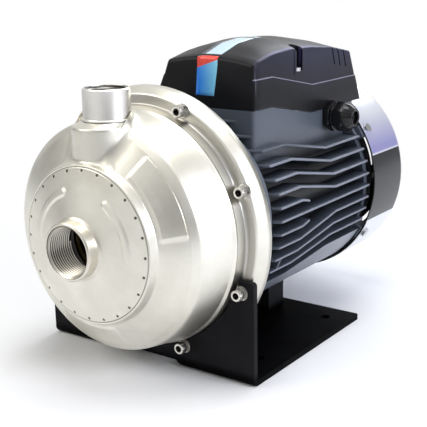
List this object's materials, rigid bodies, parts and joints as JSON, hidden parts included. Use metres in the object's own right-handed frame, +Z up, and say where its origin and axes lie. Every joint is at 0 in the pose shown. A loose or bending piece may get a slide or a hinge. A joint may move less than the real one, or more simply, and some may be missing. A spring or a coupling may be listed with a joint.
{
  "type": "centrifugal pump",
  "caption": "Close-coupled centrifugal pump: pressed steel casing with threaded suction and discharge ports, finned electric motor with a terminal box, and a folded sheet base.",
  "frame": {"origin": "centre of the four foot holes, on the underside of the base", "axes": "+Y along the shaft from the suction port towards the fan, +Z up from the base, +X to the side with the cable gland"},
  "size_m": [0.231, 0.394, 0.2666],
  "materials": {
    "casing_steel": "satin pressed stainless sheet",
    "port_steel": "turned and polished stainless",
    "inner_steel": "plain stainless sheet",
    "bronze": "turned",
    "bolt_steel": "stainless fasteners",
    "zinc_steel": "zinc plated",
    "shaft_steel": "ground",
    "bearing_steel": "ground and polished",
    "seal_rubber": "moulded",
    "seal_ceramic": "lapped",
    "seal_carbon": "lapped carbon",
    "spring_steel": "plain",
    "black_casting": "satin black paint on cast aluminium",
    "motor_casting": "dark blue-grey paint on cast aluminium",
    "base_paint": "satin black paint",
    "cover_paint": "silver paint",
    "core_steel": "laminated sheet",
    "copper": "varnished winding wire",
    "rotor_aluminium": "cast",
    "box_plastic": "fine-grained moulding",
    "gland_plastic": "smooth moulding",
    "fan_plastic": "moulded",
    "can_aluminium": "drawn can"
  },
  "bodies": {
    "frame": {"pump_casing": "casing_steel", "suction_port": "port_steel", "discharge_port": "port_steel", "suction_plate": "inner_steel", "casing_cover": "inner_steel", "wear_ring": "bronze", "terminal_studs": "bronze", "flange_bolts": "bolt_steel", "flange_washers": "bolt_steel", "flange_spring_washers": "bolt_steel", "tie_rods": "zinc_steel", "fan_cover_screws": "zinc_steel", "box_screws": "zinc_steel", "support_screws": "zinc_steel", "front_bearing_outer_ring": "bearing_steel", "rear_bearing_outer_ring": "bearing_steel", "casing_oring": "seal_rubber", "seal_seat_gasket": "seal_rubber", "gland_seal": "seal_rubber", "box_gasket": "seal_rubber", "seal_seat": "seal_ceramic", "motor_bracket": "black_casting", "motor_housing": "motor_casting", "rear_shield": "motor_casting", "base_bracket": "base_paint", "motor_support": "base_paint", "fan_cover": "cover_paint", "stator_core": "core_steel", "stator_windings": "copper", "terminal_cover": "box_plastic", "terminal_block": "box_plastic", "gland_body": "gland_plastic", "gland_nut": "gland_plastic", "gland_locknut": "gland_plastic", "capacitor": "can_aluminium"},
    "rotor": {"shaft": "shaft_steel", "rotor_core": "core_steel", "rotor_end_rings": "rotor_aluminium", "impeller_back_shroud": "inner_steel", "impeller_vanes": "inner_steel", "impeller_front_shroud": "inner_steel", "impeller_hub": "inner_steel", "impeller_nut": "bolt_steel", "impeller_washer": "bolt_steel", "impeller_key": "bolt_steel", "seal_carbon_ring": "seal_carbon", "seal_bellows": "seal_rubber", "seal_spring": "spring_steel", "slinger": "seal_rubber", "front_bearing_inner_ring": "bearing_steel", "rear_bearing_inner_ring": "bearing_steel", "cooling_fan": "fan_plastic", "fan_clip": "bolt_steel"},
    "front_balls": {"front_bearing_balls": "bearing_steel"},
    "rear_balls": {"rear_bearing_balls": "bearing_steel"}
  },
  "joints": [
    {"name": "rotor_spin", "type": "hinge", "parent": "frame", "child": "rotor", "pos_m": [0, 0, 0.12], "axis": [0, 1, 0], "continuous": true},
    {"name": "front_balls_orbit", "type": "hinge", "parent": "frame", "child": "front_balls", "pos_m": [0, 0, 0.12], "axis": [0, 1, 0], "continuous": true},
    {"name": "rear_balls_orbit", "type": "hinge", "parent": "frame", "child": "rear_balls", "pos_m": [0, 0, 0.12], "axis": [0, 1, 0], "continuous": true}
  ],
  "couplings": [
    {"joint": "front_balls_orbit", "follows": "rotor_spin", "ratio": 0.4122},
    {"joint": "rear_balls_orbit", "follows": "rotor_spin", "ratio": 0.4122}
  ]
}
